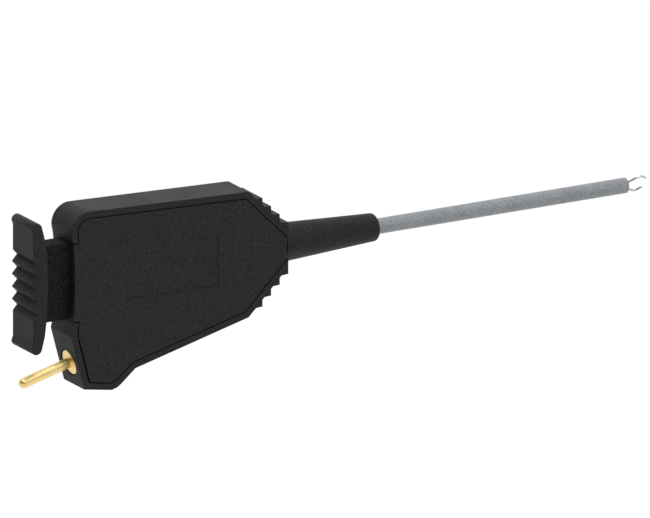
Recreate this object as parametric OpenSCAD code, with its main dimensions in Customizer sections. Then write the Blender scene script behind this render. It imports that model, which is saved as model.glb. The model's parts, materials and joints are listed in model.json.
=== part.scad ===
// Micro test clip: a flat thumb-operated housing with a thin insulated shaft.
// Pressing the thumb pad pushes two sprung wire jaws out of the shaft's mouth.
// Origin: centre of the shaft's mouth. +X runs out of the mouth, +Z is up,
// and the housing is thinnest along Y, with its cover plate on the -Y side.

/* [Housing] */
// Thickness of the housing, side to side
housing_t = 3.2; // [3.1:0.1:5]
// Length of the housing, front face to rear corner
housing_len = 18.9; // [18.5:0.05:22]
// Half height of the housing's front face
face_half = 1.53; // [1.5:0.01:1.6]
// Half height of the housing where the front grips end
shoulder_half = 5.0; // [4.9:0.01:5.6]
// Height of the top edge at the rear above the shaft axis
top_rear = 5.51; // [5.3:0.01:6.5]
// Radius of the rear top corner
corner_r = 1.55; // [0.8:0.05:1.7]
// Depth of the keel below the shaft axis
keel_drop = 8.97; // [8.8:0.01:10]
// Half height of the rear mouth that the plunger slides in
mouth_half = 3.1; // [2.8:0.05:3.2]
// How far the rear mouth's lip is hollowed for the thumb
lip_hollow = 0.15; // [0.05:0.01:0.25]

/* [Grip steps] */
// Number of grip steps on each front slope
step_count = 4; // [2:1:4]
// Distance from one step to the next, along X and along Z
step_pitch = 0.75; // [0.6:0.01:0.78]
// Height of one step's riser
step_riser = 0.53; // [0.3:0.01:0.56]
// Length of one step's tread
step_tread = 0.57; // [0.3:0.01:0.6]

/* [Cover plate] */
// Thickness of the cover plate
cover_t = 0.8; // [0.5:0.05:0.9]
// Width of the housing's rim round the cover plate
rim_w = 0.58; // [0.4:0.01:0.62]
// Gap between the cover plate and the rim
cover_gap = 0.07; // [0.02:0.01:0.1]
// Gap between the cover plate's front edge and the nose
front_gap = 0.13; // [0.05:0.01:0.2]
// Gap between the cover plate and the rim of the tilted rear face
tail_gap = 0.12; // [0.05:0.01:0.2]
// Radius of the cover plate's locating pegs
peg_r = 0.3; // [0.2:0.01:0.32]
// Length of the pegs
peg_len = 1.1; // [0.6:0.1:1.4]
// Depth of the bare label panel on the cover plate
panel_depth = 0.03; // [0.02:0.01:0.15]
// Length of the label panel
panel_len = 8.1; // [5:0.1:9]
// Height of the label panel
panel_h = 4.0; // [2:0.1:5]

/* [Nose and shaft] */
// Length of the tapered nose
nose_len = 8.4; // [6:0.1:12]
// Radius of the nose at the housing
nose_root_r = 1.52; // [1.3:0.01:1.52]
// Radius of the nose at its front
nose_tip_r = 1.09; // [0.95:0.01:1.25]
// Rounding of the nose's front edge
nose_round = 0.3; // [0.1:0.05:0.4]
// Length of shaft that stands out of the nose
shaft_out = 21.9; // [15:0.1:40]
// Outer radius of the insulating sleeve
sleeve_r = 0.6; // [0.55:0.01:0.7]
// Outer radius of the steel guide tube
guide_r = 0.4; // [0.36:0.01:0.44]
// Inner radius of the steel guide tube
guide_bore_r = 0.3; // [0.29:0.01:0.32]
// How far the guide tube stops short of the sleeve's mouth
guide_recess = 0.4; // [0.2:0.05:0.8]

/* [Jaws] */
// Radius of the jaw wire
wire_r = 0.09; // [0.07:0.005:0.11]
// Distance of each jaw wire from the shaft axis
wire_off = 0.16; // [0.14:0.005:0.17]
// Turn of the jaws' plane about the shaft axis, in degrees
jaw_turn = 35; // [0:5:90]
// Widest half spread of the jaws
jaw_spread = 0.86; // [0.6:0.01:1.1]
// Distance of the jaws' widest point in front of the mouth
jaw_bow_x = 1.08; // [0.9:0.01:1.4]
// Half gap between the jaw tips
jaw_tip_half = 0.5; // [0.2:0.01:0.6]
// Distance of the jaw tips in front of the mouth
jaw_tip_x = 1.6; // [1.4:0.01:2.2]

/* [Plunger] */
// Travel of the plunger
stroke = 2.0; // [1:0.1:2]
// Distance from the housing's front face to the thumb pad's flats
pad_back = 22.25; // [22:0.05:24]
// Height of the thumb pad
pad_h = 10.45; // [8:0.05:12]
// Thickness of the thumb pad along Y
pad_t = 3.2; // [2:0.1:3.2]
// Depth of the thumb pad at its middle
pad_mid = 1.32; // [1:0.01:1.4]
// Depth of the thumb pad near its ends
pad_end = 0.78; // [0.6:0.01:0.9]
// Distance from one thumb rib to the next
rib_pitch = 1.0; // [0.8:0.05:1.05]
// Depth of the grooves between the ribs
rib_depth = 0.45; // [0.2:0.01:0.5]
// Number of thumb ribs
rib_count = 4; // [2:2:6]
// Clearance of the plunger's stem in the rear mouth, above and below
stem_gap = 0.05; // [0.04:0.01:0.2]
// Thickness of the stem along Y
stem_t = 1.45; // [1.2:0.05:1.5]
// Half height of the carriage inside the housing
carriage_half = 3.6; // [3.4:0.05:3.65]
// Length of the carriage
carriage_len = 7.3; // [6.5:0.1:7.6]

/* [Return spring] */
// Radius of the spring wire
spring_wire_r = 0.09; // [0.06:0.01:0.1]
// Mean radius of the spring's coils
spring_r = 0.6; // [0.56:0.01:0.62]
// Number of coils
spring_turns = 9; // [6:1:12]

/* [Contact pin] */
// Radius of the contact pin
pin_r = 0.4; // [0.3:0.01:0.5]
// Length of pin outside the housing
pin_out = 4.45; // [3:0.05:8]
// Tilt of the contact pin and of the face it stands on, in degrees
pin_tilt = 15; // [12:1:16]
// Distance of the pin along the tilted face from that face's top edge
pin_along = 2.6; // [2.2:0.05:2.8]
// Radius of the pin's flange
flange_r = 1.0; // [0.8:0.01:1.1]
// Thickness of the pin's flange
flange_t = 0.42; // [0.3:0.01:0.44]
// Radius of the pin's body inside the housing
pin_body_r = 0.6; // [0.5:0.01:0.65]
// Length of the pin's body
pin_body_len = 2.7; // [2.4:0.05:2.8]

/* [Hidden] */
$fn = 48;
arc_steps = 12;               // flats in a round stretch of an outline
top_fall = 2;                 // turn of the top edge's rear end, in degrees
cut = 0.5;                    // overrun of a cutting shape past a face
run_gap = 0.01;               // radial clearance of a wire or tube in its hole
slide_gap = 0.05;             // clearance of a piece that slides
seat_gap = 0.02;              // clearance of a piece that is pushed into a seat

front_x = -(nose_len + shaft_out);   // the housing's front face
shoulder_back = shoulder_half - face_half;
cover_y = -housing_t / 2 + cover_t;  // plane between the cover plate and the tray
cell_half = 0.8;                     // half width of the tray's hollow, along Y
stem_half = mouth_half - stem_gap;   // half height of the plunger's stem

// the keel behind and below the plunger
tail_top = [-housing_len - 0.05, -mouth_half - 1.17];
tail_len = (keel_drop - 0.39 + tail_top.y) / cos(pin_tilt);
tail_dir = [sin(pin_tilt), -cos(pin_tilt)];
tail_low = tail_top + tail_len * tail_dir;
keel_back = housing_len - 3.49;
keel_rise_back = housing_len - 5.58;
keel_rise_z = -keel_drop + 1.42;

// the pin's seat on the tilted face, and the direction into the housing
pin_seat = tail_top + pin_along * tail_dir;
pin_in = [cos(pin_tilt), sin(pin_tilt)];
flange_gap = 0.07;
flange_sink = 0.06;
tail_r = 0.3;
pin_tail_len = 0.8;

// the hollow for the plunger, the spring and the shaft's collar, back from the front face
rear_wall = 1.05;
cell_back = housing_len - 0.05 - rear_wall;
carriage_back = cell_back - slide_gap;
carriage_front = carriage_back - carriage_len;
cell_front = carriage_front - stroke - slide_gap;
cell_top = carriage_half + 0.1;
spring_lane = spring_r + spring_wire_r + 0.11;
collar_back = 3.2;
collar_t = 0.8;
collar_h = 2.0;
collar_w = 2 * cell_half - 2 * slide_gap;
washer_t = 0.15;
guide_back = cell_front - 0.35;
sleeve_seat = 1.0;

// the contact block in the carriage, and the leaf that rubs on its foot
block_len = 3.0;
block_back = carriage_back - 2.2;
block_head = 1.0;
block_foot = 0.6;
block_web_in = 0.7;
block_near = 0.7;             // how far the block reaches towards the cover plate, from the shaft axis
block_far = 0.4;              // and away from it
leaf_t = 0.15;
leaf_w = 1.2;
leaf_crest = block_back - block_len + 0.7;
leaf_low = 0.7;
leaf_high = 0.8;

// cross-section points of the jaws, in the jaws' own plane
jaw_root_x = -stroke - 0.3;
jaw_bend_x = -0.17;
jaw_bend_r = 0.25;
jaw_bend_steps = 4;
jaw_path = [[jaw_root_x, wire_off], [jaw_bend_x, wire_off],
    [jaw_bow_x - 0.37, jaw_spread - 0.13], [jaw_bow_x, jaw_spread], [jaw_tip_x, jaw_tip_half]];
joint_gap = 0.03;             // play between a shank and its sprung end, where the wire flexes

peg_places = [[-5.5, 3.0], [-5.5, -3.0], [-housing_len + 2.45, cell_top + 0.55],
    [-housing_len + 2.55, -keel_drop + 1.24]];

function unit(v) = v / norm(v);

// points of an arc, both ends included
function arc(c, r, a0, a1, n = arc_steps) =
    [for (i = [0:n]) let (a = a0 + (a1 - a0) * i / n) c + r * [cos(a), sin(a)]];

// a closed anticlockwise outline moved inwards by d, with mitred corners
function inset(pts, d) =
    let (n = len(pts))
    [for (i = [0:n - 1])
        let (u = unit(pts[i] - pts[(i + n - 1) % n]), v = unit(pts[(i + 1) % n] - pts[i]))
        let (a = [-u.y, u.x], b = [-v.y, v.x])
        pts[i] + d * (a + b) / (1 + a * b)];

// one slope of grip steps, from the front face backwards and up
function steps() =
    [for (i = [0:step_count - 1]) each [
        [-step_pitch * i, face_half + step_pitch * i],
        [-step_pitch * i, face_half + step_pitch * i + step_riser],
        [-step_pitch * i - step_tread, face_half + step_pitch * i + step_tread]]];

function flip(pts) = [for (i = [len(pts) - 1:-1:0]) [pts[i].x, -pts[i].y]];

// the hollowed lip of the rear mouth, from its upper to its lower corner
function lip(back, half) =
    [for (i = [0:arc_steps]) let (z = half * (1 - 2 * i / arc_steps))
        [-back + lip_hollow * (1 - pow(z / half, 2)), z]];

// upper rear corner and keel, shared by the housing and its cover plate
function rear_top() = concat([[-shoulder_back, shoulder_half]],
    arc([-housing_len + corner_r, top_rear - corner_r], corner_r, 90 + top_fall, 180));

function keel() = [tail_top, tail_low, [-keel_back, -keel_drop],
    [-keel_back + 0.47, -keel_drop + 0.12], [-keel_back + 0.83, -keel_drop + 0.36],
    [-keel_rise_back, keel_rise_z], [-shoulder_back, -shoulder_half]];

function housing_outline() = concat(steps(), rear_top(), lip(housing_len - 0.15, mouth_half),
    [[-housing_len + 0.22, -mouth_half - 0.1]], keel(), flip(steps()));

// the outline without its grip steps, which the cover plate is set back from
function plain_outline() = concat([[0, face_half]], rear_top(),
    [[-housing_len + 0.1, mouth_half], [-housing_len + 0.1, -mouth_half]], keel(), [[0, -face_half]]);

// the cover plate's outline moved outwards by -d, its front edge at front, its tilted edge moved by tail
function plate_outline(d, front, tail) =
    let (p = inset(plain_outline(), rim_w + d), n = len(p), corner = len(rear_top()))
    let (low = p[n - 2], high = p[1])
    concat([for (i = [1:corner]) p[i]],
        [[-housing_len + 0.1 + rim_w + d, mouth_half - 0.02 - d]],
        lip(housing_len - 0.15 - min(d, 0) * 2 / 3, mouth_half - 0.05 - d),
        [[-housing_len + 0.1 + rim_w + d, -mouth_half - 0.05 + d]],
        [for (i = [corner + 3:corner + 4]) p[i] + [tail / cos(pin_tilt), 0]],
        [for (i = [corner + 5:n - 2]) p[i]],
        [[front, low.y + front - low.x], [front, high.y - front + high.x]]);

// lays a flat XZ outline down as a plate from y0 to y1, at the front face
module plate(y0, y1, pts) {
    translate([front_x, y1, 0])
        rotate([90, 0, 0])
            linear_extrude(y1 - y0)
                polygon(pts);
}

// turns a shape built along +Z so that it runs along +X from the front face
module along_shaft(x) {
    translate([front_x + x, 0, 0])
        rotate([0, 90, 0])
            children();
}

// turns a shape built along +Z so that it runs into the housing from the pin's seat
module along_pin() {
    translate([front_x + pin_seat.x, 0, pin_seat.y])
        rotate([0, 90 - pin_tilt, 0])
            children();
}

module box(x0, x1, y0, y1, z0, z1) {
    translate([front_x + x0, y0, z0])
        cube([x1 - x0, y1 - y0, z1 - z0]);
}

module peg(r, len) {
    rotate([-90, 0, 0])
        cylinder(r = r, h = len);
}

module nose() {
    c = nose_len - nose_round;
    along_shaft(-0.2)
        rotate_extrude()
            polygon(concat([[0, 0], [nose_root_r, 0], [nose_root_r, 0.2]],
                arc([nose_tip_r - nose_round, c + 0.2], nose_round, 0, 90),
                [[0, nose_len + 0.2]]));
}

module housing_shell() {
    color([0.11, 0.11, 0.115])
    difference() {
        union() {
            plate(-housing_t / 2, housing_t / 2, housing_outline());
            nose();
        }
        // seat of the cover plate
        plate(-housing_t / 2 - cut, cover_y, plate_outline(-cover_gap, 0, 0));
        // hollow for the plunger, open to the rear through the mouth
        box(-cell_back, -cell_front, cover_y - 0.1, cell_half, -cell_top, cell_top);
        box(-housing_len - cut, -cell_back + 0.1, cover_y - 0.1, cell_half, -mouth_half, mouth_half);
        // lane of the return spring and seat of the shaft's collar
        box(-cell_front - 0.1, -collar_back + 0.1, cover_y - 0.1, cell_half, -spring_lane, spring_lane);
        box(-collar_back - slide_gap, -collar_back + collar_t, cover_y - 0.1, cell_half,
            -collar_h / 2 - slide_gap, collar_h / 2 + slide_gap);
        // room for the contact leaf below the plunger
        box(-block_back - 0.4, -leaf_crest + 1.2, cover_y - 0.1, cell_half, pin_seat.y - 0.25, -cell_top + 0.1);
        // bores for the shaft and the contact pin
        along_shaft(-collar_back)
            cylinder(r = guide_r + run_gap, h = collar_back + sleeve_seat + 0.1);
        along_shaft(sleeve_seat)
            cylinder(r = sleeve_r + run_gap, h = nose_len + cut);
        along_pin()
            translate([0, 0, -cut])
                cylinder(r = flange_r + flange_gap, h = flange_sink + flange_t + cut);
        along_pin()
            cylinder(r = pin_body_r + run_gap, h = flange_sink + flange_t + pin_body_len);
        for (p = peg_places)
            translate([front_x + p.x, cover_y - 0.1, p.y])
                peg(peg_r + seat_gap, peg_len + 0.2);
    }
}

module cover_plate() {
    color([0.1, 0.1, 0.105])
    difference() {
        union() {
            plate(-housing_t / 2, cover_y, plate_outline(0, -front_gap, tail_gap - cover_gap));
            for (p = peg_places)
                translate([front_x + p.x, cover_y - 0.1, p.y])
                    peg(peg_r, peg_len + 0.1);
        }
        // bare label panel
        box(-14.2, -14.2 + panel_len, -housing_t / 2 - cut, -housing_t / 2 + panel_depth,
            -panel_h / 2, panel_h / 2);
    }
}

module tube(outer, inner, x0, x1) {
    along_shaft(x0)
        difference() {
            cylinder(r = outer, h = x1 - x0);
            translate([0, 0, -cut])
                cylinder(r = inner, h = x1 - x0 + 2 * cut);
        }
}

module shaft_sleeve() {
    color([0.5, 0.52, 0.54])
    tube(sleeve_r, guide_r + run_gap, sleeve_seat, -front_x);
}

module guide_tube() {
    color([0.75, 0.76, 0.78])
    tube(guide_r, guide_bore_r, -guide_back, -front_x - guide_recess);
}

module shaft_collar() {
    color([0.78, 0.66, 0.36])
    difference() {
        box(-collar_back, -collar_back + collar_t, -collar_w / 2, collar_w / 2, -collar_h / 2, collar_h / 2);
        along_shaft(-collar_back - cut)
            cylinder(r = guide_r + run_gap, h = collar_t + 2 * cut);
    }
}

module contact_pin() {
    f = flange_sink + flange_t;
    b = f + pin_body_len;
    groove = 0.12;
    color([0.9, 0.74, 0.36])
    along_pin()
        rotate_extrude()
            polygon(concat(
                [for (i = [0:arc_steps]) let (a = -90 + 90 * i / arc_steps)
                    [pin_r * cos(a), -pin_out + pin_r + pin_r * sin(a)]],
                [[pin_r, flange_sink], [flange_r, flange_sink], [flange_r, f], [pin_body_r, f]],
                [for (k = [1:2]) each [
                    [pin_body_r, f + 0.8 * k], [pin_body_r - groove, f + 0.8 * k],
                    [pin_body_r - groove, f + 0.8 * k + 0.25], [pin_body_r, f + 0.8 * k + 0.25]]],
                [[pin_body_r, b], [tail_r, b], [tail_r, b + pin_tail_len], [0, b + pin_tail_len]]));
}

// the leaf's centre line: up the pin's tail, then forward and over its crest
function leaf_line() =
    let (foot = pin_seat + (flange_sink + flange_t + pin_body_len + leaf_t / 2) * pin_in)
    let (up = [-pin_in.y, pin_in.x], crest_z = -carriage_half - seat_gap - leaf_t / 2)
    [foot - leaf_low * up, foot + leaf_high * up, [-leaf_crest - 0.25, crest_z - 0.06],
        [-leaf_crest, crest_z], [-leaf_crest + 0.25, crest_z - 0.06], [-leaf_crest + 0.8, crest_z - 0.35]];

// a ribbon of even thickness along a line of points
function ribbon(p, t) =
    let (n = len(p) - 1)
    let (dir = [for (i = [0:n]) unit(p[min(i + 1, n)] - p[max(i - 1, 0)])])
    let (side = [for (d = dir) t / 2 * [-d.y, d.x]])
    concat([for (i = [0:n]) p[i] - side[i]], [for (i = [n:-1:0]) p[i] + side[i]]);

module contact_wiper() {
    color([0.8, 0.62, 0.34])
    difference() {
        plate(-leaf_w / 2, leaf_w / 2, ribbon(leaf_line(), leaf_t));
        along_pin()
            cylinder(r = tail_r + run_gap, h = flange_sink + flange_t + pin_body_len + 3 * leaf_t);
    }
}

// an open coil as one unbroken tube of six sides
spring_rings = 8;
spring_end = spring_wire_r + run_gap;
spring_len = carriage_front - washer_t - collar_back;
function spring_point(i) =
    let (t = i / spring_rings)
    [spring_end + (spring_len - 2 * spring_end) * t / spring_turns,
        spring_r * cos(360 * t), spring_r * sin(360 * t)];
spring_count = spring_rings * spring_turns;
spring_gap = (spring_len - 2 * spring_end) / spring_turns - 2 * spring_wire_r;
echo(spring_gap_to_itself = spring_gap);

// one unbroken tube along a line of points, each with a direction square to the line
module swept(line, across, r, sides) {
    n = len(line) - 1;
    rings = [for (i = [0:n], k = [0:sides - 1])
        let (t = unit(line[min(i + 1, n)] - line[max(i - 1, 0)]), a = 360 * k / sides)
        line[i] + r * (cos(a) * across[i] + sin(a) * cross(t, across[i]))];
    walls = [for (i = [0:n - 1], k = [0:sides - 1])
        let (a = i * sides + k, b = i * sides + (k + 1) % sides) each [
            [a, b, b + sides], [a, b + sides, a + sides]]];
    first = [for (k = [1:sides - 2]) [0, k + 1, k]];
    last = [for (k = [1:sides - 2]) [n * sides, n * sides + k, n * sides + k + 1]];
    polyhedron(rings, concat(walls, first, last));
}

module return_spring() {
    line = [for (i = [0:spring_count]) spring_point(i)];
    color([0.7, 0.71, 0.73])
    translate([front_x - carriage_front + washer_t, 0, 0])
        swept(line, [for (c = line) unit([0, c.y, c.z])], spring_wire_r, 6);
}

module spring_washer() {
    color([0.72, 0.73, 0.75])
    tube(spring_r + spring_wire_r + 0.03, wire_off + wire_r + 0.1, -carriage_front, -carriage_front + washer_t);
}

// the thumb pad's profile: ribbed back, flared round ends, bowed front
pad_end_turn = [12, 175];     // the part of a circle that rounds each end of the pad
function pad_outline() =
    let (h = pad_h / 2, b = -pad_back, n = rib_count, half = (n + 1) / 2 * rib_pitch)
    let (end_r = 0.46, end_c = [b + pad_end - end_r, h - end_r])
    let (ribs = [for (i = [0:n]) let (z = (n / 2 - i) * rib_pitch) each concat(
        [[b + rib_depth - 0.1, z]], i < n ? [[b - 0.1, z - rib_pitch / 2]] : [])])
    let (upper = concat([[b + pad_mid, 0], [b + pad_mid - 0.1, h * 0.45],
        [b + pad_mid - 0.29, h * 0.74]], arc(end_c, end_r, pad_end_turn[0], pad_end_turn[1])))
    concat(upper, [[b, h - 0.8], [b, half - 0.1]], ribs, [[b, -half + 0.1], [b, -h + 0.8]],
        [for (i = [len(upper) - 1:-1:1]) [upper[i].x, -upper[i].y]]);

// the contact block's profile: a head that grips the wires, and a foot that the leaf rubs on
function block_outline(d) =
    let (x0 = -block_back, x1 = -block_back + block_len, z0 = -carriage_half)
    inset([[x0, z0 - max(-d, 0) * 4], [x1, z0 - max(-d, 0) * 4], [x1, z0 + block_foot],
        [x1 - block_web_in, z0 + block_foot], [x1 - block_web_in, -block_head], [x1, -block_head],
        [x1, block_head], [x0, block_head], [x0, -block_head], [x0 + block_web_in, -block_head],
        [x0 + block_web_in, z0 + block_foot], [x0, z0 + block_foot]], d);

module plunger() {
    color([0.12, 0.12, 0.125])
    difference() {
        union() {
            plate(-pad_t / 2, pad_t / 2, pad_outline());
            box(-pad_back + pad_mid - 0.3, -carriage_back + 0.1, -stem_t / 2, stem_t / 2, -stem_half, stem_half);
            box(-carriage_back, -carriage_front, -cell_half + slide_gap, cell_half - slide_gap,
                -carriage_half, carriage_half);
        }
        plate(-cell_half - cut, block_far + seat_gap, block_outline(-seat_gap));
        along_shaft(-block_back)
            cylinder(r = wire_off + wire_r + 0.1, h = block_back - carriage_front + cut);
    }
}

// a jaw's own frame: its plane's first axis along the shaft, the second away from the axis
module jaw_frame(side) {
    rotate([jaw_turn + (side > 0 ? 0 : 180), 0, 0])
        children();
}

module wire(a, b, r) {
    d = b - a;
    translate([a.x, 0, a.y])
        rotate([0, 90 - atan2(d.y, d.x), 0])
            cylinder(r = r, h = norm(d), $fn = 24);
}

// a path whose corners are rounded to a radius
function rounded(p, r, n) = concat([p[0]],
    [for (i = [1:len(p) - 2])
        let (u = unit(p[i] - p[i - 1]), v = unit(p[i + 1] - p[i]), left = sign(cross(u, v)))
        let (turn = acos(u * v), start = p[i] - r * tan(turn / 2) * u, a = atan2(u.y, u.x) - left * 90)
        each arc(start - r * [cos(a), sin(a)], r, a, a + left * turn, n)],
    [p[len(p) - 1]]);

module contact_block() {
    color([0.82, 0.68, 0.36])
    difference() {
        plate(-block_near, block_far, block_outline(0));
        for (side = [1, -1])
            jaw_frame(side)
                wire([front_x - block_back + 0.3, wire_off], [front_x - carriage_front, wire_off], wire_r + run_gap);
    }
}

module jaw_shank(side) {
    color([0.82, 0.83, 0.85])
    jaw_frame(side)
        wire([front_x - block_back + 0.32, wire_off], [jaw_root_x - joint_gap, wire_off], wire_r);
}

module jaw_tip(side) {
    line = rounded(jaw_path, jaw_bend_r, jaw_bend_steps);
    color([0.82, 0.83, 0.85])
    jaw_frame(side)
        swept([for (p = line) [p.x, 0, p.y]], [for (p = line) [0, 1, 0]], wire_r, 12);
}

module jaw_shank_upper() { jaw_shank(1); }
module jaw_shank_lower() { jaw_shank(-1); }
module jaw_tip_upper() { jaw_tip(1); }
module jaw_tip_lower() { jaw_tip(-1); }

housing_shell();
cover_plate();
shaft_sleeve();
guide_tube();
shaft_collar();
contact_pin();
contact_wiper();
return_spring();
spring_washer();
plunger();
contact_block();
jaw_shank_upper();
jaw_shank_lower();
jaw_tip_upper();
jaw_tip_lower();
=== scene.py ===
"""Dresses the micro test clip: its moulded housing, thumb plunger, shaft, wire jaws and contact pin."""
import json
import math

import bpy
from bpy.props import FloatProperty, FloatVectorProperty, PointerProperty
from mathutils import Matrix, Vector


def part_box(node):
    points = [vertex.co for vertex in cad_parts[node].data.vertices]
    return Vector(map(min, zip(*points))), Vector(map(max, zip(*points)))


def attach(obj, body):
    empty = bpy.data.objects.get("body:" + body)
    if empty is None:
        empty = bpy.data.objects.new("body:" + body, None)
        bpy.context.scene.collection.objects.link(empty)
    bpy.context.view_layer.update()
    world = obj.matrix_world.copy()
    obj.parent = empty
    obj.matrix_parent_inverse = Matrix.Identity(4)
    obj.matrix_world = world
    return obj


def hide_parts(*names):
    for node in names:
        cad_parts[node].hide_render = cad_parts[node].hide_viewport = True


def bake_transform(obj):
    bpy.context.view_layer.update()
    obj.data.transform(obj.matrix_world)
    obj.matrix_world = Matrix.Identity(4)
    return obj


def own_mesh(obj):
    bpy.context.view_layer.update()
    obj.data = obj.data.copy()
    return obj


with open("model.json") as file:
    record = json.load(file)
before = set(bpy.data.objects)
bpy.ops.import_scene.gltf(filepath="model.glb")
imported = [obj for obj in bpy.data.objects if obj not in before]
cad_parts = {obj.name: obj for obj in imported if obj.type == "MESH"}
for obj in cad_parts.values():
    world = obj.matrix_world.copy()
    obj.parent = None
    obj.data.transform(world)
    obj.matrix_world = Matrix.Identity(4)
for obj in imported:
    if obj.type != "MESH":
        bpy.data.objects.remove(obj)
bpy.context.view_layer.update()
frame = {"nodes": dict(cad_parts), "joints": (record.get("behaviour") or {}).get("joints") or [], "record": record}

bl_info = {
    "name": "Micro test clip",
    "version": (1, 0, 0),
    "blender": (4, 5, 0),
    "location": "3D View > Sidebar > Test clip",
    "description": "Adds the finished pieces of a thumb-operated micro test clip around its frame",
    "category": "Object",
}

MM = 0.001                          # a millimetre, in metres
MERGE_MM = 0.001                    # points closer than this are one point
SLACK_MM = 0.01                     # a point closer to a side than this lies on it
BROAD_MM = 0.06                     # a wider face is a flat or a step of an arc, not an edge's rounding
FLAT_TURN = math.radians(0.4)       # faces that meet at less than this are one flat
CRISP_TURN = math.radians(14.3)     # more than a step of any rounded corner
SHARP_TURN = math.radians(32)       # faces that meet at more than this are shaded apart
EDGE_STRIPS = 2                     # strips of faces in a rounded edge


# ---------------------------------------------------------------- settings

class ClipSizes(bpy.types.PropertyGroup):
    """Sizes of the pieces, in millimetres."""
    edge: FloatProperty(
        name="Moulded edge", description="Rounding of the moulded parts' outer edges",
        default=0.035, min=0.01, max=0.1)
    cover_edge: FloatProperty(
        name="Cover edge", description="Rounding of the edges of the cover's outer face",
        default=0.02, min=0.01, max=0.05)
    sleeve_edge: FloatProperty(
        name="Sleeve edge", description="Rounding of the sleeve's mouth",
        default=0.05, min=0.01, max=0.08)
    jaw_turn: FloatProperty(
        name="Jaw turn", description="Turn of the jaws' plane about the shaft, in degrees",
        default=35.0, min=0.0, max=90.0)
    wire_radius: FloatProperty(
        name="Jaw wire radius", description="Radius of the jaw wire",
        default=0.09, min=0.05, max=0.11)
    wire_offset: FloatProperty(
        name="Wire offset", description="Distance of a jaw wire from the shaft's axis",
        default=0.16, min=0.12, max=0.17)
    wire_bend: FloatProperty(
        name="Wire bend", description="Radius of the jaw wire's bends",
        default=0.25, min=0.15, max=0.4)
    jaw_spread: FloatProperty(
        name="Jaw spread", description="Widest half spread of the jaws",
        default=0.86, min=0.6, max=1.1)
    jaw_bow: FloatProperty(
        name="Jaw bow", description="Distance of the jaws' widest point in front of the mouth",
        default=1.08, min=0.9, max=1.4)
    jaw_tip: FloatProperty(
        name="Jaw tip", description="Distance of the jaw tips in front of the mouth",
        default=1.6, min=1.4, max=2.2)
    jaw_tip_half: FloatProperty(
        name="Jaw tip gap", description="Half gap between the jaw tips",
        default=0.5, min=0.2, max=0.6)
    jaw_leave: FloatProperty(
        name="Jaw bend place", description="Distance inside the mouth where a jaw bends out",
        default=0.17, min=0.0, max=0.2)


class ClipFinish(bpy.types.PropertyGroup):
    """Colours and gloss of the finishes."""
    plastic: FloatVectorProperty(
        name="Black plastic", description="Colour of the moulded plastic", subtype="COLOR",
        default=(0.008, 0.008, 0.0081), min=0.0, max=1.0)
    plastic_gloss: FloatProperty(
        name="Plastic roughness", description="Roughness of the moulded plastic",
        default=0.6, min=0.2, max=1.0)
    sleeve: FloatVectorProperty(
        name="Grey sleeve", description="Colour of the insulating sleeve", subtype="COLOR",
        default=(0.249, 0.265, 0.277), min=0.0, max=1.0)
    gold: FloatVectorProperty(
        name="Gold plate", description="Colour of the pin's plating", subtype="COLOR",
        default=(0.92, 0.705, 0.31), min=0.0, max=1.0)
    steel: FloatVectorProperty(
        name="Steel", description="Colour of the bright steel wire", subtype="COLOR",
        default=(0.54, 0.53, 0.52), min=0.0, max=1.0)
    brass: FloatVectorProperty(
        name="Brass", description="Colour of the brass parts", subtype="COLOR",
        default=(0.66, 0.45, 0.16), min=0.0, max=1.0)
    bronze: FloatVectorProperty(
        name="Bronze", description="Colour of the spring leaf", subtype="COLOR",
        default=(0.58, 0.33, 0.14), min=0.0, max=1.0)


class ClipStage(bpy.types.PropertyGroup):
    """Camera and light."""
    azimuth: FloatProperty(
        name="Azimuth", description="Turn of the camera about the object, in degrees",
        default=-29.354, min=-180.0, max=180.0)
    elevation: FloatProperty(
        name="Elevation", description="Height of the camera over the object, in degrees",
        default=17.105, min=-89.0, max=89.0)
    width: FloatProperty(
        name="View width", description="Width of what the camera sees", unit="LENGTH",
        default=0.0494, min=0.02, max=0.2)
    floor_drop: FloatProperty(
        name="Floor drop", description="Depth of the floor below the shaft's axis", unit="LENGTH",
        default=0.04, min=0.009, max=0.2)
    power: FloatProperty(
        name="Light", description="Strength of all the soft lights together",
        default=1.0, min=0.0, max=10.0)
    world: FloatProperty(
        name="Room", description="Brightness of the room around the lights",
        default=0.15, min=0.0, max=5.0)


# ---------------------------------------------------------------- modelling helpers, in millimetres

def select_only(piece):
    """Makes a piece the one selected and active object."""
    if bpy.context.object and bpy.context.object.mode != "OBJECT":
        bpy.ops.object.mode_set(mode="OBJECT")
    bpy.ops.object.select_all(action="DESELECT")
    piece.select_set(True)
    bpy.context.view_layer.objects.active = piece


def edit(piece):
    """Opens a piece in edit mode with everything deselected."""
    select_only(piece)
    bpy.ops.object.mode_set(mode="EDIT")
    bpy.ops.mesh.select_mode(type="VERT")
    bpy.ops.mesh.select_all(action="DESELECT")


def leave():
    """Goes back to object mode."""
    bpy.ops.object.mode_set(mode="OBJECT")


def moulded_copy(node, name):
    """A copy of a frame node's mesh, in millimetres, merged and with its flat faces whole."""
    piece = bpy.data.objects.new(name, frame["nodes"][node].data.copy())
    bpy.context.scene.collection.objects.link(piece)
    piece.data.materials.clear()
    piece.scale = (1 / MM,) * 3
    select_only(piece)
    bpy.ops.object.transform_apply(location=True, rotation=True, scale=True)
    edit(piece)
    bpy.ops.mesh.select_all(action="SELECT")
    bpy.ops.mesh.remove_doubles(threshold=MERGE_MM)
    bpy.ops.mesh.dissolve_limited(angle_limit=FLAT_TURN)
    leave()
    return piece


def face_turns(mesh):
    """The turn between each edge's two faces, positive where the edge stands out."""
    faces = {}
    for face in mesh.polygons:
        for key in face.edge_keys:
            faces.setdefault(key, []).append(face)
    turns = {}
    for key, pair in faces.items():
        if len(pair) == 2:
            a, b = pair
            turn = a.normal.angle(b.normal, 0.0)
            turns[key] = turn if (b.center - a.center).dot(a.normal) < 0 else -turn
    return turns


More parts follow.
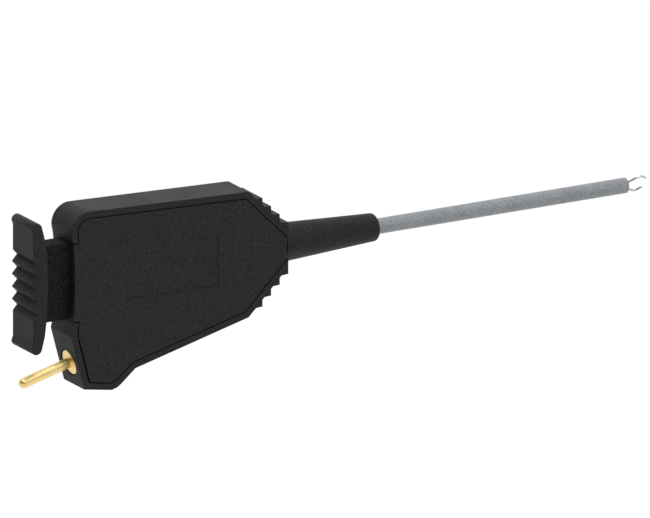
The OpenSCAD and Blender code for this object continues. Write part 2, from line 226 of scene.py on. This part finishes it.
def round_edges(piece, width, wanted):
    """Rounds each sharp outward edge that wanted(a, b) picks by its two ends."""
    mesh = piece.data
    turns = face_turns(mesh)
    picked = [e.index for e in mesh.edges
              if turns.get(e.key, 0.0) > SHARP_TURN
              and wanted(mesh.vertices[e.vertices[0]].co, mesh.vertices[e.vertices[1]].co)]
    edit(piece)
    bpy.ops.mesh.select_mode(type="EDGE")
    leave()
    for index in picked:
        mesh.edges[index].select = True
    bpy.ops.object.mode_set(mode="EDIT")
    bpy.ops.mesh.bevel(offset=width, segments=EDGE_STRIPS, profile=0.5, affect="EDGES",
                       clamp_overlap=True)
    leave()


def keep_crisp(piece, least):
    """Marks the edges where two broad faces meet at more than the least turn, so that both stay flat."""
    mesh = piece.data
    turns = face_turns(mesh)
    broad = {}
    for face in mesh.polygons:
        ends = [mesh.vertices[v].co for v in face.vertices]
        longest = max((a - b).length for a, b in zip(ends, ends[1:] + ends[:1]))
        for key in face.edge_keys:
            broad[key] = broad.get(key, True) and face.area / longest > BROAD_MM
    crisp = {key for key, turn in turns.items() if abs(turn) > least and broad[key]}
    # a crease runs on across the strips of a rounded edge that it meets
    short = {key for key, turn in turns.items() if abs(turn) > least / 2
             and (mesh.vertices[key[0]].co - mesh.vertices[key[1]].co).length < BROAD_MM}
    for _ in range(EDGE_STRIPS):
        ends = {v for key in crisp for v in key}
        crisp |= {key for key in short if key[0] in ends or key[1] in ends}
    edit(piece)
    bpy.ops.mesh.select_mode(type="EDGE")
    leave()
    for line in mesh.edges:
        line.select = line.key in crisp
    bpy.ops.object.mode_set(mode="EDIT")
    bpy.ops.mesh.mark_sharp()
    leave()


def turned(name, profile, sides=72, closed=False):
    """Turns a profile of (place along +Z, radius) points into a solid, as on a lathe.
    A closed profile is a ring, and its last point joins its first."""
    bpy.ops.object.select_all(action="DESELECT")
    place, radius = profile[0]
    bpy.ops.mesh.primitive_circle_add(vertices=sides, radius=radius, location=(0, 0, place),
                                      fill_type="NOTHING" if closed else "NGON")
    piece = bpy.context.object
    piece.name = name
    bpy.ops.object.transform_apply(location=True, rotation=True, scale=True)
    bpy.ops.object.mode_set(mode="EDIT")
    bpy.ops.mesh.select_all(action="SELECT")
    for next_place, next_radius in profile[1:] + ([profile[0]] if closed else []):
        bpy.ops.mesh.extrude_region_move(TRANSFORM_OT_translate={"value": (0, 0, next_place - place)})
        grow = next_radius / radius
        bpy.ops.transform.resize(value=(grow, grow, 1), center_override=(0, 0, next_place))
        place, radius = next_place, next_radius
    bpy.ops.mesh.select_all(action="SELECT")
    bpy.ops.mesh.remove_doubles(threshold=MERGE_MM)
    bpy.ops.mesh.normals_make_consistent(inside=False)
    leave()
    return piece


def quarter(place, radius, out, start, end, steps=8):
    """Profile points of an arc of radius out about (place, radius), between two angles in degrees."""
    angles = [math.radians(start + (end - start) * i / steps) for i in range(steps + 1)]
    return [(place + out * math.sin(a), radius + out * math.cos(a)) for a in angles]


def stand_along(piece, point, axis):
    """Moves a piece that was built along +Z so that it starts at a point (mm) and lies along an axis."""
    turn = Vector((0, 0, 1)).rotation_difference(Vector(axis))
    piece.data.transform(Matrix.Translation(Vector(point)) @ turn.to_matrix().to_4x4())


def settle(piece, body, material, nodes, crisp=CRISP_TURN):
    """Brings a finished piece to metres, shades it, and gives it its finish, body and place in the frame.
    A piece without a body is left to its caller."""
    piece.data.name = piece.name
    keep_crisp(piece, crisp)
    piece.scale = (MM,) * 3
    select_only(piece)
    bpy.ops.object.transform_apply(location=True, rotation=True, scale=True)
    bpy.ops.object.shade_smooth_by_angle(angle=SHARP_TURN, keep_sharp_edges=True)
    flats = piece.modifiers.new("Flat faces", "WEIGHTED_NORMAL")
    flats.keep_sharp = True
    bpy.ops.object.modifier_apply(modifier=flats.name)
    piece.data.materials.clear()
    piece.data.materials.append(material)
    if body:
        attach(piece, body)
    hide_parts(*nodes)


# ---------------------------------------------------------------- shader groups

def new_group(name, inputs, outputs):
    """A shader node group with a vector and named numbers in, and named numbers out: its tree and ends."""
    tree = bpy.data.node_groups.new(name, "ShaderNodeTree")
    tree.interface.new_socket(name="Vector", in_out="INPUT", socket_type="NodeSocketVector")
    for label, default in inputs:
        socket = tree.interface.new_socket(name=label, in_out="INPUT", socket_type="NodeSocketFloat")
        socket.default_value = default
    for label in outputs:
        tree.interface.new_socket(name=label, in_out="OUTPUT", socket_type="NodeSocketFloat")
    return tree, tree.nodes.new("NodeGroupInput"), tree.nodes.new("NodeGroupOutput")


def join(tree, source, target):
    """Links one node's output to another's input."""
    tree.links.new(source, target)


def noise(tree, vector, scale, detail=2.0, rough=0.5, distort=0.0):
    """A noise texture; scale is a number or a socket."""
    node = tree.nodes.new("ShaderNodeTexNoise")
    node.inputs["Detail"].default_value = detail
    node.inputs["Roughness"].default_value = rough
    node.inputs["Distortion"].default_value = distort
    join(tree, vector, node.inputs["Vector"])
    if isinstance(scale, (int, float)):
        node.inputs["Scale"].default_value = scale
    else:
        join(tree, scale, node.inputs["Scale"])
    return node.outputs["Fac"]


def math_node(tree, operation, a, b, clamp=False):
    """Adds or multiplies two values, each a number or a socket."""
    node = tree.nodes.new("ShaderNodeMath")
    node.operation = operation
    node.use_clamp = clamp
    for given, value in zip(node.inputs, (a, b)):
        if isinstance(value, (int, float)):
            given.default_value = value
        else:
            join(tree, value, given)
    return node.outputs[0]


def span(tree, value, low, high, to_low=0.0, to_high=1.0):
    """Maps a value from low..high to to_low..to_high and holds it there."""
    node = tree.nodes.new("ShaderNodeMapRange")
    for label, number in (("From Min", low), ("From Max", high), ("To Min", to_low), ("To Max", to_high)):
        node.inputs[label].default_value = number
    join(tree, value, node.inputs["Value"])
    return node.outputs["Result"]


def make_grain_group():
    """Spark-eroded mould grain: a height for the bump, fine specks, and slow patches of gloss."""
    pit_share = 0.6             # of the pits in the height, beside the coarse grain
    tree, given, out = new_group("Mould grain", [("Grain size", 8000.0), ("Patch size", 320.0)],
                                 ["Height", "Specks", "Patches"])
    vector = given.outputs["Vector"]
    coarse = noise(tree, vector, given.outputs["Grain size"], detail=3.0, rough=0.62)
    cells = tree.nodes.new("ShaderNodeTexVoronoi")
    cells.feature = "SMOOTH_F1"
    join(tree, vector, cells.inputs["Vector"])
    join(tree, given.outputs["Grain size"], cells.inputs["Scale"])
    pits = math_node(tree, "MULTIPLY", cells.outputs["Distance"], pit_share)
    join(tree, math_node(tree, "ADD", coarse, pits), out.inputs["Height"])
    join(tree, span(tree, coarse, 0.4, 0.6), out.inputs["Specks"])
    patches = noise(tree, vector, given.outputs["Patch size"], detail=4.0, rough=0.55, distort=0.4)
    join(tree, span(tree, patches, 0.3, 0.7), out.inputs["Patches"])
    return tree


def make_drawn_group():
    """Marks of a die or a lathe: fine streaks, stretched by the mapping that feeds the group."""
    tree, given, out = new_group("Tool marks", [("Mark size", 9000.0), ("Blotch size", 900.0)],
                                 ["Height", "Streaks", "Tarnish"])
    vector = given.outputs["Vector"]
    streaks = noise(tree, vector, given.outputs["Mark size"], detail=4.0, rough=0.6)
    join(tree, streaks, out.inputs["Height"])
    join(tree, span(tree, streaks, 0.3, 0.7), out.inputs["Streaks"])
    blotches = noise(tree, vector, given.outputs["Blotch size"], detail=3.0, rough=0.5, distort=0.3)
    join(tree, span(tree, blotches, 0.35, 0.75), out.inputs["Tarnish"])
    return tree


GROUP_MAKERS = {"grain": make_grain_group, "marks": make_drawn_group}
GROUPS = {}


def shared(name):
    """The shared node group of that name, built once."""
    if name not in GROUPS:
        GROUPS[name] = GROUP_MAKERS[name]()
    return GROUPS[name]


# ---------------------------------------------------------------- materials

def blank_material(name):
    """A new node material: its tree, its shader and the object's coordinates."""
    material = bpy.data.materials.new(name)
    material.use_nodes = True
    tree = material.node_tree
    shader = next(n for n in tree.nodes if n.type == "BSDF_PRINCIPLED")
    place = tree.nodes.new("ShaderNodeTexCoord").outputs["Object"]
    return material, tree, shader, place


def mapped(tree, place, shift=(0, 0, 0), turn=(0, 0, 0), stretch=(1, 1, 1)):
    """The coordinates that a texture is laid on by, moved, turned and stretched."""
    node = tree.nodes.new("ShaderNodeMapping")
    node.inputs["Location"].default_value = shift
    node.inputs["Rotation"].default_value = turn
    node.inputs["Scale"].default_value = stretch
    join(tree, place, node.inputs["Vector"])
    return node.outputs["Vector"]


def place_group(tree, name, vector, **values):
    """Puts a shared group in a material and sets the inputs that differ from the group's own."""
    node = tree.nodes.new("ShaderNodeGroup")
    node.node_tree = shared(name)
    join(tree, vector, node.inputs["Vector"])
    for label, value in values.items():
        node.inputs[label.replace("_", " ")].default_value = value
    return node.outputs


def blend_colour(tree, factor, low, high):
    """A colour between two, by a factor from 0 to 1."""
    node = tree.nodes.new("ShaderNodeMix")
    node.data_type = "RGBA"
    node.inputs["A"].default_value = (*low, 1.0)
    node.inputs["B"].default_value = (*high, 1.0)
    join(tree, factor, node.inputs["Factor"])
    return node.outputs["Result"]


def bump(tree, shader, height, strength, depth):
    """Tips a shader's normal by a height, as relief of a depth in metres."""
    node = tree.nodes.new("ShaderNodeBump")
    node.inputs["Strength"].default_value = strength
    node.inputs["Distance"].default_value = depth
    join(tree, height, node.inputs["Height"])
    join(tree, node.outputs["Normal"], shader.inputs["Normal"])


def shade_of(colour, factor):
    """A colour made darker or lighter by a factor."""
    return tuple(min(1.0, c * factor) for c in colour)


def moulded_plastic(name, colour, roughness, grain_size=7000.0, grain_depth=0.00004, contrast=1.0,
                    shift=0.0, dull_from=None):
    """Moulded plastic with a spark-eroded grain that breaks up both its colour and its gloss.
    Past dull_from, a place along X in metres, its surface is duller."""
    fine_share = 0.75           # of the specks in the colour, the rest being the slow patches
    added, blur = 0.35, 0.00002     # roughness past dull_from, and half the width in which it sets in
    material, tree, shader, place = blank_material(name)
    vector = mapped(tree, place, shift=(shift, shift / 2, -shift))
    grain = place_group(tree, "grain", vector, Grain_size=grain_size)
    tone = math_node(tree, "MULTIPLY", grain["Specks"], fine_share)
    tone = math_node(tree, "ADD", tone, math_node(tree, "MULTIPLY", grain["Patches"], 1 - fine_share))
    colours = blend_colour(tree, tone, shade_of(colour, 1 - contrast), shade_of(colour, 1 + contrast))
    join(tree, colours, shader.inputs["Base Color"])
    gloss = span(tree, grain["Patches"], 0.0, 1.0, roughness - 0.05, roughness + 0.07)
    if dull_from is not None:
        split = tree.nodes.new("ShaderNodeSeparateXYZ")
        join(tree, place, split.inputs["Vector"])
        duller = span(tree, split.outputs["X"], dull_from - blur, dull_from + blur, 0.0, added)
        gloss = math_node(tree, "ADD", gloss, duller, clamp=True)
    join(tree, gloss, shader.inputs["Roughness"])
    shader.inputs["Specular IOR Level"].default_value = 0.27
    bump(tree, shader, grain["Height"], strength=0.8, depth=grain_depth)
    return material


def bright_metal(name, colour, roughness, stretch, turn=(0, 0, 0), depth=0.0000005, tarnish=0.82,
                 uneven=0.25):
    """A metal drawn or turned, faintly tarnished, whose streaks lie along the axes of small stretch.
    Its relief has a depth in metres, or none on a plated one, and its gloss is uneven by a share."""
    material, tree, shader, place = blank_material(name)
    vector = mapped(tree, place, turn=turn, stretch=stretch)
    marks = place_group(tree, "marks", vector)
    colours = blend_colour(tree, marks["Tarnish"], colour, shade_of(colour, tarnish))
    join(tree, colours, shader.inputs["Base Color"])
    gloss = span(tree, marks["Streaks"], 0.0, 1.0, roughness * (1 - uneven), roughness * (1 + uneven))
    join(tree, gloss, shader.inputs["Roughness"])
    shader.inputs["Metallic"].default_value = 1.0
    if depth:
        bump(tree, shader, marks["Height"], strength=0.4, depth=depth)
    return material


# ---------------------------------------------------------------- the pieces

def clip():
    """The clip's sizes, finish and stage, as set in the scene."""
    scene = bpy.context.scene
    return scene.clip_sizes, scene.clip_finish, scene.clip_stage


def outer_y(node):
    """The cover's side and the plain side of a node, in millimetres along Y."""
    low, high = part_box(node)
    return low.y / MM, high.y / MM


def on_side(a, b, y):
    """Whether both ends of an edge lie on a side."""
    return abs(a.y - y) < SLACK_MM and abs(b.y - y) < SLACK_MM


class TESTCLIP_OT_housing(bpy.types.Operator):
    """Adds the tray half of the housing with its grips and nose"""
    bl_idname = "testclip.housing"
    bl_label = "Housing"

    def execute(self, context):
        sizes, finish, _ = clip()
        piece = moulded_copy("housing_shell", "housing_tray")
        near, far = outer_y("housing_shell")
        round_edges(piece, sizes.edge, lambda a, b: on_side(a, b, near) or on_side(a, b, far))
        plastic = moulded_plastic("Housing plastic", finish.plastic, finish.plastic_gloss)
        settle(piece, "housing", plastic, ["housing_shell"])
        return {"FINISHED"}


class TESTCLIP_OT_cover(bpy.types.Operator):
    """Adds the cover plate with its bare label panel"""
    bl_idname = "testclip.cover"
    bl_label = "Cover plate"

    def execute(self, context):
        sizes, finish, _ = clip()
        piece = moulded_copy("cover_plate", "side_cover")
        near, _ = outer_y("cover_plate")
        round_edges(piece, sizes.cover_edge, lambda a, b: on_side(a, b, near))
        plastic = moulded_plastic("Cover plastic", finish.plastic, finish.plastic_gloss, shift=0.013)
        settle(piece, "housing", plastic, ["cover_plate"])
        return {"FINISHED"}


def near_pad_face():
    """Where the thumb pad ends and the plunger's stem begins, along X in metres."""
    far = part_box("plunger")[1].y
    part = frame["nodes"]["plunger"].data
    return max(v.co.x for v in part.vertices if abs(v.co.y) > far - SLACK_MM * MM)


class TESTCLIP_OT_plunger(bpy.types.Operator):
    """Adds the thumb plunger with its ribbed pad"""
    bl_idname = "testclip.plunger"
    bl_label = "Thumb plunger"

    def execute(self, context):
        sizes, finish, _ = clip()
        piece = moulded_copy("plunger", "thumb_plunger")
        near, far = outer_y("plunger")
        round_edges(piece, sizes.edge, lambda a, b: on_side(a, b, near) or on_side(a, b, far))
        plastic = moulded_plastic("Plunger plastic", finish.plastic, finish.plastic_gloss, shift=0.031,
                                  dull_from=near_pad_face())
        settle(piece, "plunger_unit", plastic, ["plunger"], crisp=SHARP_TURN)
        return {"FINISHED"}


class TESTCLIP_OT_sleeve(bpy.types.Operator):
    """Adds the grey insulating sleeve over the shaft"""
    bl_idname = "testclip.sleeve"
    bl_label = "Shaft sleeve"

    bore_gap = 0.01                 # between the sleeve and the guide tube, in millimetres

    def execute(self, context):
        sizes, finish, _ = clip()
        low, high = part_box("shaft_sleeve")
        outer = high.z / MM
        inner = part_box("guide_tube")[1].z / MM + self.bore_gap
        start, end, edge = low.x / MM, high.x / MM, sizes.sleeve_edge
        profile = [(start, inner), (start, outer)]
        profile += quarter(end - edge, outer - edge, edge, 0, 90)
        profile += [(end, inner + edge / 2), (end - edge / 2, inner)]
        piece = turned("insulating_sleeve", profile, closed=True)
        stand_along(piece, (0, 0, 0), (1, 0, 0))
        plastic = moulded_plastic("Sleeve grey", finish.sleeve, 0.5, grain_size=10500.0,
                                  grain_depth=0.000012, contrast=0.34)
        settle(piece, "housing", plastic, ["shaft_sleeve"])
        return {"FINISHED"}


class TESTCLIP_OT_pin(bpy.types.Operator):
    """Adds the gold-plated contact pin"""
    bl_idname = "testclip.pin"
    bl_label = "Contact pin"

    # along the pin, in millimetres from its seat
    length = 4.45                   # to the tip
    sink, thick = 0.06, 0.42        # depth of the flange's face in its pocket, and the flange's thickness
    body_length, tail_length = 2.7, 0.8
    # radii, in millimetres
    flange, body, tail = 1.0, 0.6, 0.3
    soft = 0.04                     # rounding of the flange's rim, and the fillet at the pin's foot
    # the grooves that hold the pressed-in body, in millimetres
    grooves, groove_pitch, groove_width, groove_depth = 2, 0.8, 0.25, 0.12

    def execute(self, context):
        _, finish, _ = clip()
        mount = next(m for m in frame["record"]["mounts"] if m["name"] == "contact_pin")
        seat = Vector(mount["pos_m"]) / MM
        outward = Vector(mount["axis"])
        radius = mount["dims"]["r_mm"]
        flange, body, tail, soft = self.flange, self.body, self.tail, self.soft
        front = -self.sink
        back = front - self.thick
        shoulder = back - self.body_length
        profile = [(shoulder - self.tail_length, tail), (shoulder, tail), (shoulder, body)]
        for groove in range(self.grooves, 0, -1):
            end = back - self.groove_pitch * groove
            start, floor = end - self.groove_width, body - self.groove_depth
            profile += [(start, body), (start, floor), (end, floor), (end, body)]
        profile += [(back, body), (back, flange)]
        profile += quarter(front - soft, flange - soft, soft, 0, 90, 4)
        profile += [(front, radius + soft), (front + soft, radius)]
        profile += quarter(self.length - radius, 0.0, radius, 0, 88, 14)
        piece = turned("gold_contact_pin", profile)
        stand_along(piece, seat, outward)
        tilt = math.atan2(outward.z, outward.x)
        gold = bright_metal("Gold plate", finish.gold, 0.4, stretch=(1, 0.05, 0.05), turn=(0, tilt, 0),
                            depth=0.0, tarnish=0.9, uneven=0.03)
        settle(piece, "housing", gold, ["contact_pin"])
        return {"FINISHED"}


def wire_along(name, path, radius, bend, sides=20, steps=8):
    """A round wire along a path of (x, z) points, its corners bent and its end rounded.
    A point on a straight only adds a ring."""
    bpy.ops.object.select_all(action="DESELECT")
    bpy.ops.mesh.primitive_circle_add(vertices=sides, radius=radius, fill_type="NGON",
                                      location=(path[0][0], 0, path[0][1]), rotation=(0, math.pi / 2, 0))
    piece = bpy.context.object
    piece.name = name
    bpy.ops.object.transform_apply(location=True, rotation=True, scale=True)
    bpy.ops.object.mode_set(mode="EDIT")
    bpy.ops.mesh.select_all(action="SELECT")
    points = [Vector((x, z)) for x, z in path]
    headings = [(b - a).normalized() for a, b in zip(points, points[1:])]
    here = points[0]
    for i, heading in enumerate(headings):
        corner = points[i + 1]
        last = i == len(headings) - 1
        turn = 0.0 if last else -heading.angle_signed(headings[i + 1])
        trim = radius if last else bend * math.tan(abs(turn) / 2)
        stop = corner - heading * trim
        move = stop - here
        bpy.ops.mesh.extrude_region_move(TRANSFORM_OT_translate={"value": (move.x, 0, move.y)})
        here = stop
        if last or abs(turn) < FLAT_TURN:
            continue
        side = math.copysign(1.0, turn)
        centre = here + Vector((-heading.y, heading.x)) * bend * side
        for _ in range(steps):
            bpy.ops.mesh.extrude_region_move(TRANSFORM_OT_translate={"value": (0, 0, 0)})
            here = turn_about(here, centre, turn / steps)
            rotate_face(turn / steps, centre)
        here = corner + headings[i + 1] * trim
    round_end(here, headings[-1], radius)
    bpy.ops.mesh.select_all(action="SELECT")
    bpy.ops.mesh.remove_doubles(threshold=MERGE_MM)
    bpy.ops.mesh.normals_make_consistent(inside=False)
    leave()
    return piece


def turn_about(point, centre, angle):
    """A point of the XZ plane turned about a centre."""
    arm = point - centre
    return centre + Vector((arm.x * math.cos(angle) - arm.y * math.sin(angle),
                            arm.x * math.sin(angle) + arm.y * math.cos(angle)))


def rotate_face(angle, centre):
    """Turns the selection in the XZ plane, anticlockwise seen from -Y."""
    bpy.ops.transform.rotate(value=angle, orient_axis="Y", orient_type="GLOBAL",
                             center_override=(centre.x, 0, centre.y))


def round_end(here, heading, radius, steps=4):
    """Ends a wire in a dome with a small flat."""
    reach = math.radians(84)
    place, size = 0.0, radius
    for i in range(1, steps + 1):
        angle = reach * i / steps
        next_place, next_size = radius * math.sin(angle), radius * math.cos(angle)
        step = heading * (next_place - place)
        bpy.ops.mesh.extrude_region_move(TRANSFORM_OT_translate={"value": (step.x, 0, step.y)})
        centre = here + heading * next_place
        grow = next_size / size
        bpy.ops.transform.resize(value=(grow, grow, grow), center_override=(centre.x, 0, centre.y))
        place, size = next_place, next_size


class TESTCLIP_OT_jaws(bpy.types.Operator):
    """Adds the two sprung wire jaws, each one wire from the contact block to its hooked tip"""
    bl_idname = "testclip.jaws"
    bl_label = "Wire jaws"

    flex = 0.3                      # length of wire to each side of its hinge that is laid in rings, in millimetres
    flex_steps = 4                  # rings of the wire on each side of its hinge
    crook_back, crook_in = 0.37, 0.13   # from a jaw's widest point to the bend before it, in millimetres

    def execute(self, context):
        sizes, finish, _ = clip()
        flex, steps = self.flex, self.flex_steps
        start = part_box("jaw_shank_upper")[0].x / MM
        hinge = next(j for j in frame["joints"] if j["name"] == "upper_jaw_open")["pos_m"][0]
        flexing = [hinge / MM + flex * step / steps for step in range(-steps, steps + 1)]
        path = [(x, sizes.wire_offset) for x in (start, *flexing, -sizes.jaw_leave)]
        path += [(sizes.jaw_bow - self.crook_back, sizes.jaw_spread - self.crook_in),
                 (sizes.jaw_bow, sizes.jaw_spread), (sizes.jaw_tip, sizes.jaw_tip_half)]
        steel = bright_metal("Jaw wire steel", finish.steel, 0.2, stretch=(0.05, 1, 1))
        for side, turn in (("upper", 0.0), ("lower", 180.0)):
            piece = wire_along(f"{side}_jaw_wire", path, sizes.wire_radius, sizes.wire_bend)
            piece.data.transform(Matrix.Rotation(math.radians(sizes.jaw_turn + turn), 4, "X"))
            settle(piece, None, steel, [f"jaw_shank_{side}", f"jaw_tip_{side}"])
            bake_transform(piece)
        return {"FINISHED"}


class TESTCLIP_OT_spring(bpy.types.Operator):
    """Adds the coiled return spring"""
    bl_idname = "testclip.spring"
    bl_label = "Return spring"

    coils = 9
    wire, clear = 0.09, 0.01        # radius of the wire and its gap to the spring's ends, in millimetres
    wire_sides, coil_steps = 12, 28

    def execute(self, context):
        _, finish, _ = clip()
        low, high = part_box("return_spring")
        coils, wire = self.coils, self.wire
        mean = high.z / MM - wire
        first, last = low.x / MM + wire + self.clear, high.x / MM - wire - self.clear
        bpy.ops.object.select_all(action="DESELECT")
        bpy.ops.mesh.primitive_circle_add(vertices=self.wire_sides, radius=wire, fill_type="NOTHING",
                                          location=(first, mean, 0))
        piece = bpy.context.object
        piece.name = "return_spring_coil"
        bpy.ops.object.transform_apply(location=True, rotation=True, scale=True)
        winding = piece.modifiers.new("Winding", "SCREW")
        winding.axis = "X"
        winding.angle = 2 * math.pi
        winding.screw_offset = (last - first) / coils
        winding.iterations = coils
        winding.steps = winding.render_steps = self.coil_steps
        winding.use_merge_vertices = False
        select_only(piece)
        bpy.ops.object.modifier_apply(modifier=winding.name)
        edit(piece)
        bpy.ops.mesh.select_non_manifold()
        bpy.ops.mesh.edge_face_add()
        bpy.ops.mesh.select_all(action="SELECT")
        bpy.ops.mesh.normals_make_consistent(inside=False)
        leave()
        steel = bright_metal("Spring wire steel", finish.steel, 0.24, stretch=(1, 0.2, 0.2))
        settle(piece, "housing", steel, ["return_spring"])
        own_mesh(piece)
        return {"FINISHED"}


class TESTCLIP_OT_inner_parts(bpy.types.Operator):
    """Finishes the guide tube, collar, washer, contact block and leaf inside the housing"""
    bl_idname = "testclip.inner_parts"
    bl_label = "Inner parts"

    def execute(self, context):
        _, finish, _ = clip()
        finishes = {
            "guide_tube": bright_metal("Drawn tube steel", finish.steel, 0.26, stretch=(0.06, 1, 1)),
            "spring_washer": bright_metal("Washer steel", finish.steel, 0.32, stretch=(1, 1, 1)),
            "shaft_collar": bright_metal("Collar brass", finish.brass, 0.3, stretch=(0.2, 1, 1)),
            "contact_block": bright_metal("Block brass", finish.brass, 0.28, stretch=(1, 0.1, 1)),
            "contact_wiper": bright_metal("Leaf bronze", finish.bronze, 0.3, stretch=(0.15, 1, 1)),
        }
        for node, material in finishes.items():
            part = frame["nodes"][node]
            part.data.materials.clear()
            part.data.materials.append(material)
        return {"FINISHED"}


# ---------------------------------------------------------------- the stage

def direction(turn, rise):
    """A unit vector turned from +X towards +Y and raised, both in degrees."""
    turn, rise = math.radians(turn), math.radians(rise)
    return Vector((math.cos(turn) * math.cos(rise), math.sin(turn) * math.cos(rise), math.sin(rise)))


def area_light(name, place, aim, size, power):
    """A square white softbox that faces a point."""
    bpy.ops.object.select_all(action="DESELECT")
    bpy.ops.object.light_add(type="AREA", location=place)
    light = bpy.context.object
    light.name = name
    light.data.shape = "SQUARE"
    light.data.size = size
    light.data.energy = power
    light.rotation_euler = (place - aim).to_track_quat("Z", "Y").to_euler()


class TESTCLIP_OT_stage(bpy.types.Operator):
    """Adds the pale floor, the soft lights and the camera"""
    bl_idname = "testclip.stage"
    bl_label = "Stage"

    # name, direction from +X towards +Y and height, both in degrees, and watts
    softboxes = (
        ("overhead_softbox", 0, 90, 21.0),
        ("rear_high_softbox", 90, 45, 3.2),
        ("front_high_softbox", -90, 45, 5.4),
        ("rear_low_softbox", 90, 14, 4.0),
        ("rear_left_softbox", 135, 14, 3.0),
        ("rear_right_softbox", 45, 14, 5.5),
        ("right_softbox", 0, 19, 2.5),
        ("front_right_softbox", -45, 14, 4.5),
    )
    # in metres
    middle = (-0.027, 0.0, 0.0)     # what the softboxes face
    reach, spread = 1.6, 1.0        # distance and size of a softbox
    floor_size = 6.0
    aim = (-0.0265, 0.0, -0.0017)   # what the camera faces, but for its shift to the right and down
    shift_right, shift_down = 0.000247, 0.000164
    camera_reach = 0.3

    def execute(self, context):
        _, _, stage = clip()
        self.add_floor(stage)
        middle = Vector(self.middle)
        for name, turn, rise, watts in self.softboxes:
            place = middle + direction(turn, rise) * self.reach
            area_light(name, place, middle, self.spread, watts * stage.power)
        context.scene.world = self.room(stage)
        context.scene.view_settings.view_transform = "Standard"
        self.add_camera(context, stage)
        return {"FINISHED"}

    def add_floor(self, stage):
        bpy.ops.object.select_all(action="DESELECT")
        bpy.ops.mesh.primitive_plane_add(size=self.floor_size, location=(0, 0, 0))
        floor = bpy.context.object
        floor.name = "pale_floor"
        floor.data.transform(Matrix.Translation((0, 0, -stage.floor_drop)))
        floor.data.materials.append(self.floor_material())

    def floor_material(self):
        """Pale seamless paper with a faint tooth."""
        material, tree, shader, place = blank_material("Studio paper")
        tooth = noise(tree, place, 900.0, detail=4.0)
        colours = blend_colour(tree, tooth, (0.44, 0.44, 0.44), (0.46, 0.46, 0.46))
        join(tree, colours, shader.inputs["Base Color"])
        shader.inputs["Roughness"].default_value = 0.9
        shader.inputs["Emission Color"].default_value = (1, 1, 1, 1)
        shader.inputs["Emission Strength"].default_value = 0.43
        bump(tree, shader, tooth, strength=0.1, depth=0.0001)
        return material

    def room(self, stage):
        """A white room that is seen as pale as the floor, and lights the clip less."""
        world = bpy.data.worlds.new("Studio")
        world.use_nodes = True
        tree = world.node_tree
        background = next(n for n in tree.nodes if n.type == "BACKGROUND")
        background.inputs["Color"].default_value = (1.0, 1.0, 1.0, 1.0)
        seen = tree.nodes.new("ShaderNodeLightPath").outputs["Is Camera Ray"]
        join(tree, span(tree, seen, 0.0, 1.0, stage.world, 1.0), background.inputs["Strength"])
        return world

    def add_camera(self, context, stage):
        """Looks at the clip without perspective, from the cover's side and a little above."""
        towards = direction(stage.azimuth - 90, stage.elevation)
        right = direction(stage.azimuth, 0)
        up = towards.cross(right)
        aim = Vector(self.aim) + right * self.shift_right - up * self.shift_down
        bpy.ops.object.select_all(action="DESELECT")
        bpy.ops.object.camera_add(location=aim + towards * self.camera_reach)
        camera = context.object
        camera.name = "product_camera"
        camera.data.type = "ORTHO"
        camera.data.ortho_scale = stage.width
        camera.data.clip_start = 0.001
        camera.data.clip_end = 10.0
        camera.rotation_euler = towards.to_track_quat("Z", "Y").to_euler()
        context.scene.camera = camera


class TESTCLIP_PT_panel(bpy.types.Panel):
    """Lists the clip's pieces and their settings"""
    bl_label = "Test clip"
    bl_idname = "TESTCLIP_PT_panel"
    bl_space_type = "VIEW_3D"
    bl_region_type = "UI"
    bl_category = "Test clip"

    def draw(self, context):
        layout = self.layout
        for operator in OPERATORS:
            layout.operator(operator.bl_idname)
        for settings in clip():
            box = layout.box()
            for key in settings.__annotations__:
                box.prop(settings, key)


OPERATORS = (
    TESTCLIP_OT_housing, TESTCLIP_OT_cover, TESTCLIP_OT_plunger, TESTCLIP_OT_sleeve, TESTCLIP_OT_pin,
    TESTCLIP_OT_jaws, TESTCLIP_OT_spring, TESTCLIP_OT_inner_parts, TESTCLIP_OT_stage,
)
CLASSES = (ClipSizes, ClipFinish, ClipStage, *OPERATORS, TESTCLIP_PT_panel)


def register():
    """Adds the settings, the operators and the panel to Blender."""
    for cls in CLASSES:
        bpy.utils.register_class(cls)
    bpy.types.Scene.clip_sizes = PointerProperty(type=ClipSizes)
    bpy.types.Scene.clip_finish = PointerProperty(type=ClipFinish)
    bpy.types.Scene.clip_stage = PointerProperty(type=ClipStage)


def unregister():
    """Takes them away again."""
    del bpy.types.Scene.clip_sizes, bpy.types.Scene.clip_finish, bpy.types.Scene.clip_stage
    for cls in reversed(CLASSES):
        bpy.utils.unregister_class(cls)


def main():
    """Makes every piece and the stage."""
    register()
    for operator in OPERATORS:
        module, name = operator.bl_idname.split(".")
        getattr(getattr(bpy.ops, module), name)()


if __name__ == "__main__":
    main()
